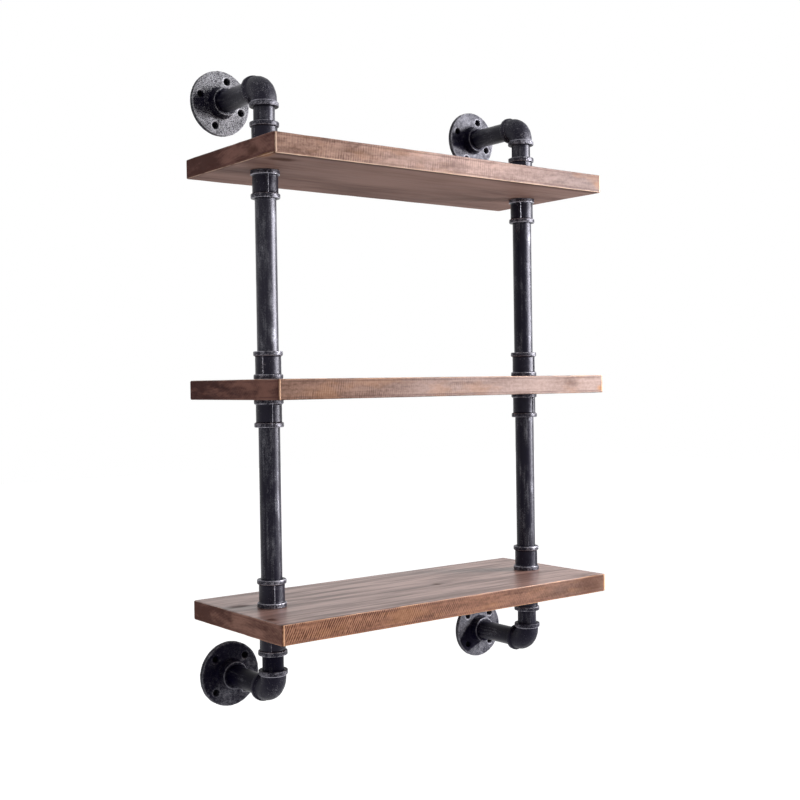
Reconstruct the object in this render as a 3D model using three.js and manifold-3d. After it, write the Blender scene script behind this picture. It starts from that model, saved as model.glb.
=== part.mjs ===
// Wall-mounted pipe shelving unit: three timber boards carried by two columns of threaded pipe.
// Millimetres, +Z up. The wall is the plane Y = 0 and the unit stands out from it towards -Y.
// The origin is on the wall, midway between the four wall flanges. Left is -X, as seen from the front.
import * as THREE from "three";
import { mergeVertices } from "three/addons/utils/BufferGeometryUtils.js";
import Module from "manifold-3d";

const wasm = await Module();
wasm.setup();

// Pipe
const pipeDiameter = 26.7;
const pipeWall = 2.9;

// Boards
const boardLength = 540;
const boardDepth = 214;
const boardThickness = 24.5;
const boardPitch = 282;
const boardEndOverhang = 53;
const boardWallGap = 6;
const boardEdgeRound = 1.6;
const boardCornerRadius = 2.5;

// Couplings, which are beaded at both ends and carry two ribs
const couplingLength = 34.5;
const fittingWall = 2.45;
const beadRise = 2.2;
const beadHeight = 6;
const beadRound = 0.9;
const ribWidth = 2.6;
const ribRise = 1.1;

// Elbows
const elbowCornerWall = 1.35;
const elbowBendInnerRadius = 0.9;

// Wall flanges
const flangeDiameter = 84;
const flangeRimThickness = 6.5;
const flangeHeight = 20;
const flangeRimRound = 1.2;
const hubLipWall = 4.3;
const hubTaper = 1.4;
const hubFillet = 4;
const hubLipRound = 1.2;
const screwHoles = 4;
const screwHoleDiameter = 8;
const screwSinkDiameter = 11.4;
const screwSinkDepth = 1.8;

// Threaded lengths, and the pipe that shows between an outer coupling and its elbow
const couplingEngagement = 14;
const elbowEngagement = 10.5;
const flangeEngagement = 14;
const riserExposure = 18.45;

// Clearances
const threadGap = 0.3;
const seatGap = 0.3;
const boardHoleGap = 0.6;
const cutOverrun = 2;

// Facets
const pipeSides = 20;
const flangeSides = 28;
const holeSides = 12;
const bendSteps = 5;
const filletSteps = 2;
const cornerSteps = 3;

// How far each piece is screwed round, in degrees. Couplings run from the top of a column to its foot.
const ribTurnDegrees = {
  left: [187, 247, 211, 249, 246, 227],
  right: [250, 218, 289, 280, 290, 291],
};
const flangeTurnDegrees = {
  left: { top: -17, bottom: 45 },
  right: { top: -22, bottom: 45 },
};

// Radii that follow from the pipe
const pipeRadius = pipeDiameter / 2;
const boreRadius = pipeRadius - pipeWall;
const socketRadius = pipeRadius + threadGap;
const bodyRadius = socketRadius + fittingWall;
const beadRadius = bodyRadius + beadRise;
const flangeRadius = flangeDiameter / 2;
const hubLipRadius = socketRadius + hubLipWall;
const hubBaseRadius = hubLipRadius + hubTaper;
const screwRingRadius = (hubBaseRadius + flangeRadius) / 2;

// Places that follow from the sizes
const elbowStop = socketRadius + elbowCornerWall;
const elbowReach = elbowStop + elbowEngagement;
const bendRadius = bodyRadius + elbowBendInnerRadius;
const columnX = boardLength / 2 - boardEndOverhang;
const columnY = -(boardDepth / 2 + boardWallGap);
const couplingStart = boardThickness / 2 + seatGap;
const couplingEnd = couplingStart + couplingLength;
const riserStart = boardPitch + couplingEnd - couplingEngagement;
const elbowHeight = boardPitch + couplingEnd + riserExposure + elbowReach;
const armStart = flangeHeight - flangeEngagement;

// Finishes
const castIron = new THREE.MeshStandardMaterial({ color: 0x3a3b40, roughness: 0.5, metalness: 0.7 });
const brushedIron = new THREE.MeshStandardMaterial({ color: 0x77787e, roughness: 0.45, metalness: 0.7 });
const steelPipe = new THREE.MeshStandardMaterial({ color: 0x2c2d32, roughness: 0.42, metalness: 0.6 });
const stainedPine = new THREE.MeshStandardMaterial({ color: 0x7a5644, roughness: 0.6, metalness: 0 });

// Solids: a closed geometry as a manifold body, and back again
function solidOf(geometry) {
  const bare = geometry.clone();
  bare.deleteAttribute("normal");
  bare.deleteAttribute("uv");
  const merged = mergeVertices(bare);
  return new wasm.Manifold(
    new wasm.Mesh({
      numProp: 3,
      vertProperties: merged.attributes.position.array,
      triVerts: new Uint32Array(merged.index.array),
    }),
  );
}

function geometryOf(solid) {
  const mesh = solid.getMesh();
  const geometry = new THREE.BufferGeometry();
  geometry.setAttribute("position", new THREE.BufferAttribute(mesh.vertProperties, mesh.numProp));
  geometry.setIndex(new THREE.BufferAttribute(mesh.triVerts, 1));
  const flat = geometry.toNonIndexed();
  flat.computeVertexNormals();
  return flat;
}

// A body turned about +Z from a profile of [radius, height] points that closes on itself.
function turned(profile, sides) {
  const points = [...profile, profile[0]].map(([radius, height]) => new THREE.Vector2(radius, height));
  return new THREE.LatheGeometry(points, sides).rotateX(Math.PI / 2);
}

// The angles from nothing to a quarter turn, in equal steps.
function quarterTurnIn(steps) {
  return Array.from({ length: steps + 1 }, (_, step) => (step / steps) * (Math.PI / 2));
}

// A length of pipe standing on Z = 0.
function pipeGeometry(length) {
  return turned(
    [
      [pipeRadius, 0],
      [pipeRadius, length],
      [boreRadius, length],
      [boreRadius, 0],
    ],
    pipeSides,
  );
}

// The beaded socket end that couplings and elbows share, as [radius, distance from the end] points.
function beadProfile() {
  return [
    [beadRadius - beadRound, 0],
    [beadRadius, beadRound],
    [beadRadius, beadHeight - beadRound],
    [bodyRadius, beadHeight],
  ];
}

// A coupling standing on Z = 0, bored right through, its ribs along +X and -X.
function couplingGeometry() {
  const lower = beadProfile();
  const upper = lower.toReversed().map(([radius, distance]) => [radius, couplingLength - distance]);
  const bore = [
    [socketRadius, couplingLength],
    [socketRadius, 0],
  ];
  const shell = solidOf(turned([...lower, ...upper, ...bore], pipeSides));
  const ribDepth = ribRise + fittingWall / 2;
  const ribLength = couplingLength - beadHeight;
  const ribs = [1, -1].map((side) =>
    solidOf(
      new THREE.BoxGeometry(ribDepth, ribWidth, ribLength).translate(
        side * (bodyRadius + ribRise - ribDepth / 2),
        0,
        couplingLength / 2,
      ),
    ),
  );
  return geometryOf(ribs.reduce((body, rib) => body.add(rib), shell));
}

// Round sections along an elbow's centreline. Its sockets' axes cross at the origin, one down -Z and
// one along +Y, and a distance is measured from that crossing along either of them.
function footSection(radius, distance) {
  return { radius, y: 0, z: -distance, turn: 0 };
}

function headSection(radius, distance) {
  return { radius, y: distance, z: 0, turn: Math.PI / 2 };
}

function bendSection(radius, turn) {
  const y = bendRadius * (1 - Math.cos(turn));
  const z = -bendRadius * (1 - Math.sin(turn));
  return { radius, y, z, turn };
}

// A closed skin over a loop of sections: out along the outside, back through the bore.
function skinOver(sections, sides) {
  const positions = [];
  for (const { radius, y, z, turn } of sections) {
    for (let side = 0; side < sides; side += 1) {
      const angle = (2 * Math.PI * side) / sides;
      const across = radius * Math.sin(angle);
      positions.push(radius * Math.cos(angle), y + across * Math.cos(turn), z - across * Math.sin(turn));
    }
  }
  const index = [];
  for (let ring = 0; ring < sections.length; ring += 1) {
    const nextRing = (ring + 1) % sections.length;
    for (let side = 0; side < sides; side += 1) {
      const nextSide = (side + 1) % sides;
      const here = ring * sides + side;
      const beside = ring * sides + nextSide;
      const ahead = nextRing * sides + side;
      const across = nextRing * sides + nextSide;
      index.push(here, beside, across, here, across, ahead);
    }
  }
  const geometry = new THREE.BufferGeometry();
  geometry.setAttribute("position", new THREE.Float32BufferAttribute(positions, 3));
  geometry.setIndex(index);
  const flat = geometry.toNonIndexed();
  flat.computeVertexNormals();
  return flat;
}

// An elbow with one socket opening down and the other back towards the wall.
function elbowGeometry() {
  const bead = beadProfile().map(([radius, distance]) => [radius, elbowReach - distance]);
  const socket = [
    [socketRadius, elbowReach],
    [socketRadius, elbowStop - threadGap],
    [boreRadius, elbowStop - threadGap],
  ];
  const turns = quarterTurnIn(bendSteps);
  const outside = [
    ...bead.map(([radius, distance]) => footSection(radius, distance)),
    ...turns.map((turn) => bendSection(bodyRadius, turn)),
    ...bead.toReversed().map(([radius, distance]) => headSection(radius, distance)),
  ];
  const inside = [
    ...socket.map(([radius, distance]) => headSection(radius, distance)),
    ...turns.slice(1, -1).map((turn) => bendSection(boreRadius, Math.PI / 2 - turn)),
    ...socket.toReversed().map(([radius, distance]) => footSection(radius, distance)),
  ];
  return skinOver([...outside, ...inside], pipeSides);
}

// A floor flange lying on its back on Z = 0, its hub towards +Z, its first screw hole along +X.
function flangeGeometry() {
  const fillet = quarterTurnIn(filletSteps).map((turn) => [
    hubBaseRadius + hubFillet * (1 - Math.sin(turn)),
    flangeRimThickness + hubFillet * (1 - Math.cos(turn)),
  ]);
  const body = solidOf(
    turned(
      [
        [flangeRadius, 0],
        [flangeRadius, flangeRimThickness - flangeRimRound],
        [flangeRadius - flangeRimRound, flangeRimThickness],
        ...fillet,
        [hubLipRadius, flangeHeight - hubLipRound],
        [hubLipRadius - hubLipRound, flangeHeight],
        [socketRadius, flangeHeight],
        [socketRadius, 0],
      ],
      flangeSides,
    ),
  );
  const holeRadius = screwHoleDiameter / 2;
  const sinkRadius = screwSinkDiameter / 2;
  const sinkFloor = flangeRimThickness - screwSinkDepth;
  const sinkSlope = (sinkRadius - holeRadius) / screwSinkDepth;
  const holeTop = flangeRimThickness + cutOverrun;
  const hole = new THREE.LatheGeometry(
    [
      new THREE.Vector2(0, -cutOverrun),
      new THREE.Vector2(holeRadius, -cutOverrun),
      new THREE.Vector2(holeRadius, sinkFloor),
      new THREE.Vector2(sinkRadius + sinkSlope * cutOverrun, holeTop),
      new THREE.Vector2(0, holeTop),
    ],
    holeSides,
  )
    .rotateX(Math.PI / 2)
    .translate(screwRingRadius, 0, 0);
  const turns = Array.from({ length: screwHoles }, (_, number) => (2 * Math.PI * number) / screwHoles);
  const drilled = turns.reduce(
    (flange, turn) => flange.subtract(solidOf(hole.clone().rotateZ(turn))),
    body,
  );
  return geometryOf(drilled);
}

// A board about its own centre, drilled for the two columns, its long edges along X.
function boardGeometry() {
  const halfLength = boardLength / 2;
  const halfDepth = boardDepth / 2;
  const round = boardCornerRadius;
  const outline = new THREE.Shape();
  outline.moveTo(-halfLength + round, -halfDepth);
  outline.lineTo(halfLength - round, -halfDepth);
  outline.absarc(halfLength - round, -halfDepth + round, round, -Math.PI / 2, 0);
  outline.lineTo(halfLength, halfDepth - round);
  outline.absarc(halfLength - round, halfDepth - round, round, 0, Math.PI / 2);
  outline.lineTo(-halfLength + round, halfDepth);
  outline.absarc(-halfLength + round, halfDepth - round, round, Math.PI / 2, Math.PI);
  outline.lineTo(-halfLength, -halfDepth + round);
  outline.absarc(-halfLength + round, -halfDepth + round, round, Math.PI, 1.5 * Math.PI);
  const plank = new THREE.ExtrudeGeometry(outline, {
    depth: boardThickness - 2 * boardEdgeRound,
    curveSegments: cornerSteps,
    bevelEnabled: true,
    bevelThickness: boardEdgeRound,
    bevelSize: boardEdgeRound,
    bevelOffset: -boardEdgeRound,
    bevelSegments: 1,
  }).translate(0, 0, boardEdgeRound - boardThickness / 2);
  const holeRadius = pipeRadius + boardHoleGap;
  const holeLength = boardThickness + 2 * cutOverrun;
  const drilled = [-columnX, columnX].reduce((board, x) => {
    const hole = new THREE.CylinderGeometry(holeRadius, holeRadius, holeLength, pipeSides);
    return board.subtract(solidOf(hole.rotateX(Math.PI / 2).translate(x, 0, 0)));
  }, solidOf(plank));
  return geometryOf(drilled);
}

// Assembly
const unit = new THREE.Group();

function place(parent, name, geometry, material, position, turn = [0, 0, 0]) {
  const mesh = new THREE.Mesh(geometry, material);
  mesh.name = name;
  mesh.position.set(...position);
  mesh.rotation.set(...turn);
  parent.add(mesh);
}

const boardLevels = { top: boardPitch, middle: 0, bottom: -boardPitch };
const boardForm = boardGeometry();
const couplingForm = couplingGeometry();
const elbowForm = elbowGeometry();
const flangeForm = flangeGeometry();
const boardNippleLength = 2 * (couplingStart + couplingEngagement);
const mainPipeLength = boardPitch - 2 * (couplingEnd - couplingEngagement);
const riserLength = couplingEngagement + riserExposure + elbowEngagement;
const armLength = -columnY - elbowStop - armStart;
const boardNippleForm = pipeGeometry(boardNippleLength);
const mainPipeForm = pipeGeometry(mainPipeLength);
const riserForm = pipeGeometry(riserLength);
const armForm = pipeGeometry(armLength);

for (const [level, height] of Object.entries(boardLevels)) {
  place(unit, `board_${level}`, boardForm, stainedPine, [0, columnY, height]);
}

for (const [side, x] of Object.entries({ left: -columnX, right: columnX })) {
  const column = new THREE.Group();
  column.position.set(x, columnY, 0);
  unit.add(column);

  let couplingNumber = 0;
  for (const [level, height] of Object.entries(boardLevels)) {
    const ends = { above: height + couplingStart, below: height - couplingEnd };
    for (const [where, foot] of Object.entries(ends)) {
      const turn = THREE.MathUtils.degToRad(ribTurnDegrees[side][couplingNumber]);
      const name = `${side}_coupling_${where}_${level}_board`;
      place(column, name, couplingForm, castIron, [0, 0, foot], [0, 0, turn]);
      couplingNumber += 1;
    }
    const nippleFoot = height - boardNippleLength / 2;
    place(column, `${side}_nipple_in_${level}_board`, boardNippleForm, steelPipe, [0, 0, nippleFoot]);
  }

  const upperPipeFoot = couplingEnd - couplingEngagement;
  for (const [which, foot] of Object.entries({ upper: upperPipeFoot, lower: upperPipeFoot - boardPitch })) {
    place(column, `${side}_${which}_pipe`, mainPipeForm, steelPipe, [0, 0, foot]);
  }

  // The bottom end is the top end turned half round about the depth axis.
  for (const [end, halfTurn] of Object.entries({ top: 0, bottom: Math.PI })) {
    const arm = new THREE.Group();
    arm.rotation.set(0, halfTurn, 0);
    column.add(arm);
    place(arm, `${side}_${end}_riser_nipple`, riserForm, steelPipe, [0, 0, riserStart]);
    place(arm, `${side}_${end}_elbow`, elbowForm, castIron, [0, 0, elbowHeight]);
    const intoWall = [-Math.PI / 2, 0, 0];
    place(arm, `${side}_${end}_arm_nipple`, armForm, steelPipe, [0, elbowStop, elbowHeight], intoWall);

    const wallPlate = new THREE.Group();
    wallPlate.position.set(0, -columnY, end === "top" ? elbowHeight : -elbowHeight);
    wallPlate.rotation.set(Math.PI / 2, 0, 0);
    column.add(wallPlate);
    const screwTurn = THREE.MathUtils.degToRad(flangeTurnDegrees[side][end]);
    place(wallPlate, `${side}_${end}_flange`, flangeForm, brushedIron, [0, 0, 0], [0, 0, screwTurn]);
  }
}

export default unit;
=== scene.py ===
# %% [markdown]
# # A wall shelf of black pipe and stained pine
#
# The real shelf is three pine boards on two columns of threaded iron pipe. Ribbed couplings clamp each
# board, and an elbow, a short pipe and a round flange carry each column back to the wall at both ends.
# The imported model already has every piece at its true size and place. It is faceted and plain, so this
# lesson makes a finer piece over each one and gives it the finish that the photograph shows.

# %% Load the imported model
import math

import bpy
import numpy as np
from mathutils import Matrix, Vector


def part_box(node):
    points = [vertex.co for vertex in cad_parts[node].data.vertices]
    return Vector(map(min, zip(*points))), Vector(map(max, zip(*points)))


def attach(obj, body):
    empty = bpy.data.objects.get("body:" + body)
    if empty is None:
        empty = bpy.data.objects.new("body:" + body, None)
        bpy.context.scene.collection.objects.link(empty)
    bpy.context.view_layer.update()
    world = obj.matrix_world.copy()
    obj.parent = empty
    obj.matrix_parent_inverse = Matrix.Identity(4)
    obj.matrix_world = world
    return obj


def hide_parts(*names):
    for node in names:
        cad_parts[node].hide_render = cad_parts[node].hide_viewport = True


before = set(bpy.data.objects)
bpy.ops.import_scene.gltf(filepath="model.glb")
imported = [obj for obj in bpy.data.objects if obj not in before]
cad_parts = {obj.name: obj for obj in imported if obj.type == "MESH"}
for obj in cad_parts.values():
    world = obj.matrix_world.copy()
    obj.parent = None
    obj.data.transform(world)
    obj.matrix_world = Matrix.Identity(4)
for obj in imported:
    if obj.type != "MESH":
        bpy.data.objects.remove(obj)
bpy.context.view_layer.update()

print("packed nodes:", len(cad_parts))

# %% [markdown]
# ## The camera
#
# The photograph was taken from the left at the height of the middle board. The camera could be placed by
# eye, but then every straight edge drifts. Its place, its three angles and its focal length were solved
# from the corners of the boards instead, so the boards' edges fall where they do in the photograph.

# %% Place the camera
camera_place = Vector((-0.9877, -1.3773, 0.0063))
camera_yaw = math.radians(37.661)
camera_pitch = math.radians(-0.855)
camera_roll = math.radians(-0.848)
picture_side = 800
focal_length_in_pixels = 1189.3
sensor_width_in_millimetres = 36


def put_in_scene(name, data):
    thing = bpy.data.objects.new(name, data)
    bpy.context.scene.collection.objects.link(thing)
    return thing


camera_data = bpy.data.cameras.new("photo_camera")
camera_data.sensor_width = sensor_width_in_millimetres
camera_data.lens = camera_data.sensor_width * focal_length_in_pixels / picture_side
camera = put_in_scene("photo_camera", camera_data)
camera.matrix_world = (
    Matrix.Translation(camera_place)
    @ Matrix.Rotation(-camera_yaw, 4, "Z")
    @ Matrix.Rotation(math.pi / 2 + camera_pitch, 4, "X")
    @ Matrix.Rotation(camera_roll, 4, "Z")
)
bpy.context.scene.camera = camera
print("lens in millimetres:", round(camera_data.lens, 2))

# %% [markdown]
# ## Wiring nodes in one line
#
# A finish is a small tree of shader nodes. Each node could be made, set and linked on lines of its own,
# which hides the finish behind its wiring. One helper makes a node and fills its inputs, with a link
# where it is given a socket and a plain value otherwise, so a finish reads from top to bottom.

# %% Node helpers
def fill(tree, node, inputs):
    """Links the inputs that are given a socket, and sets the others."""
    for name, value in inputs.items():
        if isinstance(value, bpy.types.NodeSocket):
            tree.links.new(value, node.inputs[name])
        else:
            node.inputs[name].default_value = value


def add_node(tree, kind, inputs, **settings):
    node = tree.nodes.new("ShaderNode" + kind)
    for name, value in settings.items():
        setattr(node, name, value)
    fill(tree, node, inputs)
    return node


def calculate(tree, operation, *values):
    inputs = dict(enumerate(values))
    return add_node(tree, "Math", inputs, operation=operation).outputs[0]


def product(tree, first, second):
    return calculate(tree, "MULTIPLY", first, second)


def added(tree, *terms):
    """Sums values and (value, weight) pairs."""
    total = None
    for term in terms:
        if isinstance(term, tuple):
            term = product(tree, *term)
        total = term if total is None else calculate(tree, "ADD", total, term)
    return total


def eased(tree, value, low, high, to_low=0.0, to_high=1.0):
    inputs = {"Value": value, "From Min": low, "From Max": high, "To Min": to_low, "To Max": to_high}
    return add_node(tree, "MapRange", inputs, interpolation_type="SMOOTHSTEP").outputs[0]


share_input, colour_inputs, colour_output = 0, (6, 7), 2


def blended(tree, share, first, second):
    """Mixes two colours, each a socket or red, green and blue, by a share from nought to one."""
    inputs = {share_input: share}
    for number, colour in zip(colour_inputs, (first, second)):
        inputs[number] = (*colour, 1.0) if isinstance(colour, tuple) else colour
    return add_node(tree, "Mix", inputs, data_type="RGBA").outputs[colour_output]


def noise(tree, place, scale, detail=2.0, roughness=0.5):
    inputs = {"Vector": place, "Scale": scale, "Detail": detail, "Roughness": roughness}
    return add_node(tree, "TexNoise", inputs).outputs["Fac"]


def stretched(tree, place, scale):
    return add_node(tree, "Mapping", {"Vector": place, "Scale": scale}).outputs[0]


def kept(tree, name, kind="Fac"):
    """A number, or with kind Vector a vector, that the mesh keeps with each of its points."""
    return add_node(tree, "Attribute", {}, attribute_name=name).outputs[kind]


def parts_of(tree, vector):
    return add_node(tree, "SeparateXYZ", {0: vector}).outputs


def surface(name):
    material = bpy.data.materials.new(name)
    material.use_nodes = True
    tree = material.node_tree
    return material, tree, tree.nodes["Principled BSDF"]


print("node helpers ready")

# %% [markdown]
# ## A white studio
#
# The photograph has no room in it: the shelf hangs in plain white. A white wall behind it would catch
# shadows that aren't there. A white world shows the same white to the camera and to gloss, while matte
# surfaces get a dimmer fill from it, so the colours keep their depth. The pale floor lies well below the
# shelf. One tall soft light stands to the right and lights the boards' long edges. A card of light beside
# it reaches gloss only, where it widens the pale stripe down each pipe, and a weaker light in front
# softens the shadows.

# %% World
def seen_directly(tree):
    path = add_node(tree, "LightPath", {}).outputs
    either = calculate(tree, "MAXIMUM", path["Is Camera Ray"], path["Is Glossy Ray"])
    return calculate(tree, "MAXIMUM", either, path["Is Transmission Ray"])


pure_white = (1, 1, 1, 1)
fill_strength = 0.28
world = bpy.data.worlds.new("white_studio")
world.use_nodes = True
bpy.context.scene.world = world
sky = world.node_tree
dim, bright = (
    add_node(sky, "Background", {"Color": pure_white, "Strength": strength}).outputs[0]
    for strength in (fill_strength, 1.0)
)
both = add_node(sky, "MixShader", {0: seen_directly(sky), 1: dim, 2: bright}).outputs[0]
fill(sky, sky.nodes["World Output"], {"Surface": both})
print("world:", world.name)

# %% Floor
floor_height = -1.25
floor_half_width = 14
floor_mesh = bpy.data.meshes.new("studio_floor")
floor_corners = [(-1, -1), (1, -1), (1, 1), (-1, 1)]
floor_mesh.from_pydata(
    [(x * floor_half_width, y * floor_half_width, floor_height) for x, y in floor_corners],
    [],
    [(0, 1, 2, 3)],
)
put_in_scene("studio_floor", floor_mesh)

floor_paint, tree, floor_shader = surface("pale_floor")
floor_mottle = noise(tree, add_node(tree, "TexCoord", {}).outputs["Object"], 3.0, detail=3.0)
floor_inputs = {
    "Base Color": blended(tree, floor_mottle, (0.84, 0.84, 0.84), (0.88, 0.88, 0.88)),
    "Roughness": 0.9,
    "Specular IOR Level": 0.1,
    "Emission Color": pure_white,
    "Emission Strength": product(tree, seen_directly(tree), 0.85),
}
fill(tree, floor_shader, floor_inputs)
floor_mesh.materials.append(floor_paint)
print("floor:", 2 * floor_half_width, "metres across")


# %% Lights
def soft_light(name, place, target, width, height, radiance):
    data = bpy.data.lights.new(name, "AREA")
    data.shape = "RECTANGLE"
    data.size = width
    data.size_y = height
    data.energy = radiance * math.pi * width * height
    light = put_in_scene(name, data)
    light.location = place
    light.rotation_euler = (Vector(target) - Vector(place)).to_track_quat("-Z", "Y").to_euler()
    light.visible_camera = False
    return light


shelf_middle = (0, -0.11, 0)
soft_light("right_softbox", (1.3, -0.82, 0.22), shelf_middle, width=0.42, height=1.15, radiance=27)
gloss_card = soft_light("gloss_card", (1.17, -1.28, 0.32), shelf_middle, width=0.95, height=0.95, radiance=28)
gloss_card.visible_diffuse = False
soft_light("front_softbox", (0.35, -2.6, 1.5), shelf_middle, width=1.5, height=1.1, radiance=2)

# %% [markdown]
# ## Meshes from rings
#
# Pipes, couplings, elbows and flanges are all round bodies with a hole through them. A lathe modifier
# would turn a profile, but it can't raise a rib or roughen the skin. Here a piece is a stack of rings,
# kept as arrays, so that each point can be pushed in or out before the mesh is made. The last ring joins
# the first one through the bore, so every piece is closed.

# %% Profiles and the casting's skin
mm = 0.001


def eased_step(low, high, value):
    share = np.clip((value - low) / (high - low), 0, 1)
    return share * share * (3 - 2 * share)


def near(distance, width):
    """One where the distance is nought, and less and less further away."""
    return np.exp(-((distance / width) ** 2))


def rounded_profile(corners, spacing, steps=5):
    """Turns (radius, height, rounding) corners into closely spaced points, and marks the outer curves."""
    points, curved = [], []
    for number, (radius, height, rounding) in enumerate(corners):
        corner = Vector((radius, height))
        before = Vector(corners[number - 1][:2]) - corner
        after = Vector(corners[(number + 1) % len(corners)][:2]) - corner
        outer = before.x * after.y - before.y * after.x < 0
        start = corner + before.normalized() * rounding
        end = corner + after.normalized() * rounding
        for share in np.linspace(0, 1, steps) if rounding else [0.5]:
            first = start.lerp(corner, share)
            points.append(first.lerp(corner.lerp(end, share), share))
            curved.append(math.sin(math.pi * share) if outer and rounding else 0.0)
    dense, marks = [], []
    for number, point in enumerate(points):
        following = points[(number + 1) % len(points)]
        pieces = max(1, math.ceil((following - point).length / spacing))
        if number + 1 == len(points):
            pieces = 1
        for piece in range(pieces):
            dense.append(point.lerp(following, piece / pieces))
            marks.append(curved[number] if piece == 0 else 0.0)
    return np.array([tuple(point) for point in dense]), np.array(marks)


def casting_waves(points, depth, longest, seed):
    """Small smooth bumps, as in a sand casting: a sum of seeded waves in all directions."""
    dice = np.random.default_rng(seed)
    total = np.zeros(len(points))
    waves = 18
    for _ in range(waves):
        direction = dice.normal(size=3)
        direction /= np.linalg.norm(direction)
        length = longest * dice.uniform(0.25, 1)
        total += np.sin(points @ direction * (2 * math.pi / length) + dice.uniform(0, 2 * math.pi))
    return total * depth / math.sqrt(waves / 2)


print("profile helpers ready")


# %% Meshes from rings
def angles_round(count):
    return np.arange(count) * 2 * math.pi / count


def rings_of(profile, angles):
    """The radius and the height of each point when a profile is carried round, one row for each ring."""
    return (np.repeat(column[:, None], len(angles), axis=1) for column in profile.T)


def turned(radius, height, angles):
    return np.stack([radius * np.cos(angles), radius * np.sin(angles), height], axis=-1).reshape(-1, 3)


def ring_faces(rows, around):
    ring = np.arange(rows * around).reshape(rows, around)
    beside = np.roll(ring, -1, axis=1)
    ahead = np.roll(ring, -1, axis=0)
    across = np.roll(beside, -1, axis=0)
    return np.stack([ring, beside, across, ahead], axis=-1).reshape(-1, 4)


crease_degrees = 50


def mesh_piece(name, points, faces, sharp_degrees=crease_degrees):
    mesh = bpy.data.meshes.new(name)
    mesh.from_pydata(points.tolist(), [], faces.tolist() if hasattr(faces, "tolist") else faces)
    mesh.validate()
    mesh.shade_smooth()
    mesh.set_sharp_from_angle(angle=math.radians(sharp_degrees))
    return put_in_scene(name, mesh)


def mark(piece, name, values):
    """Keeps a number or a vector with each point of the mesh, for the finish to read."""
    values = np.asarray(values, np.float32)
    if values.ndim == 0:
        values = np.full(len(piece.data.vertices), values)
    kind, field = ("FLOAT", "value") if values.ndim == 1 else ("FLOAT_VECTOR", "vector")
    attribute = piece.data.attributes.new(name, kind, "POINT")
    attribute.data.foreach_set(field, values.ravel())


print("ring helpers ready")


# %% Round holes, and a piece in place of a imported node
def closed_round_bodies(name, centres, profile, around=48):
    """Bodies with flat ends that share one profile of (radius, height) points, to be cut out of a piece."""
    angles = angles_round(around)
    points, faces = [], []
    for x, y in centres:
        first = len(points)
        for radius, height in profile:
            points += [(x + radius * math.cos(a), y + radius * math.sin(a), height) for a in angles]
        last = first + (len(profile) - 1) * around
        for ring in range(first, last, around):
            for step in range(around):
                here, beside = ring + step, ring + (step + 1) % around
                faces.append((here, beside, beside + around, here + around))
        faces += [tuple(reversed(range(first, first + around))), tuple(range(last, last + around))]
    return mesh_piece(name, np.array(points), faces)


def cut_out(piece, cutter):
    """Cuts the holes with the Boolean modifier, and returns the new mesh and its points."""
    cut = piece.modifiers.new("holes", "BOOLEAN")
    cut.operation = "DIFFERENCE"
    cut.solver = "EXACT"
    cut.object = cutter
    drilled = bpy.data.meshes.new_from_object(piece.evaluated_get(bpy.context.evaluated_depsgraph_get()))
    piece.modifiers.clear()
    piece.data = drilled
    bpy.data.objects.remove(cutter)
    return drilled, np.array([tuple(vertex.co) for vertex in drilled.vertices])


def stand_in(piece, node, material):
    piece.data.materials.append(material)
    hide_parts(node)
    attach(piece, "root")


print("hole helpers ready")

# %% [markdown]
# ## Where the pieces go
#
# The pipes' boxes give the columns' and arms' centre lines, the couplings' boxes give their heights,
# and the boards' boxes give their faces.

# %% Read the places
sides = ("left", "right")
ends = ("top", "bottom")
levels = ("top", "middle", "bottom")


def middle_of(node):
    low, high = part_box(node)
    return (low + high) / 2


column_axis = {side: middle_of(f"{side}_upper_pipe") for side in sides}
arm_axis = {(side, end): middle_of(f"{side}_{end}_arm_nipple") for side in sides for end in ends}
print("columns at x =", [round(column_axis[side].x, 4) for side in sides])
print("arms at z =", [round(arm_axis["left", end].z, 4) for end in ends])

# %% [markdown]
# ## Black paint with silver rubbed over it
#
# The iron was painted black, and silver was then dry-brushed over it, so silver stays on whatever stands
# proud and black stays in the pits. A picture of the wear would fit one piece only. Here the mesh marks
# its own raised lines, a noise breaks them up, and each piece says how heavily it was brushed. The
# flanges carry far more silver than the fittings, and one of them is grainier than the others, so one
# recipe is mixed in several ways.

# %% Cast iron finish
black_paint = (0.003, 0.002, 0.011)
cool_gloss = (0.90, 0.87, 1.0, 1.0)


def iron_finish(name, paint_roughness, paint_gloss, grit_share, grit_depth, cover, silver_paint):
    """Silver starts at the first value of cover and hides the black from the second one on."""
    material, tree, shader = surface(name)
    place, raised, brush_and_shade = kept(tree, "place", "Vector"), kept(tree, "raised"), kept(tree, "brush_and_shade")
    grit = noise(tree, place, 850.0, detail=3.0, roughness=0.6)
    blotches = noise(tree, place, 170.0, detail=4.0, roughness=0.6)
    drift = noise(tree, place, 40.0, detail=2.0)

    uneven = added(tree, (grit, grit_share), (blotches, 1.2), (drift, 0.6), -0.9 - grit_share / 2)
    silver = eased(tree, added(tree, uneven, brush_and_shade, (raised, 0.8)), *cover)

    height = calculate(tree, "ADD", grit, product(tree, blotches, 0.8))
    bump = add_node(tree, "Bump", {"Height": height, "Strength": 0.7, "Distance": grit_depth})
    iron_inputs = {
        "Base Color": blended(tree, silver, black_paint, silver_paint),
        "Metallic": product(tree, silver, added(tree, (raised, 0.3), 0.12)),
        "Roughness": eased(tree, grit, 0.3, 0.7, paint_roughness - 0.06, paint_roughness + 0.1),
        "Specular IOR Level": paint_gloss,
        "Specular Tint": cool_gloss,
        "Normal": bump.outputs[0],
    }
    fill(tree, shader, iron_inputs)
    return material


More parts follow.
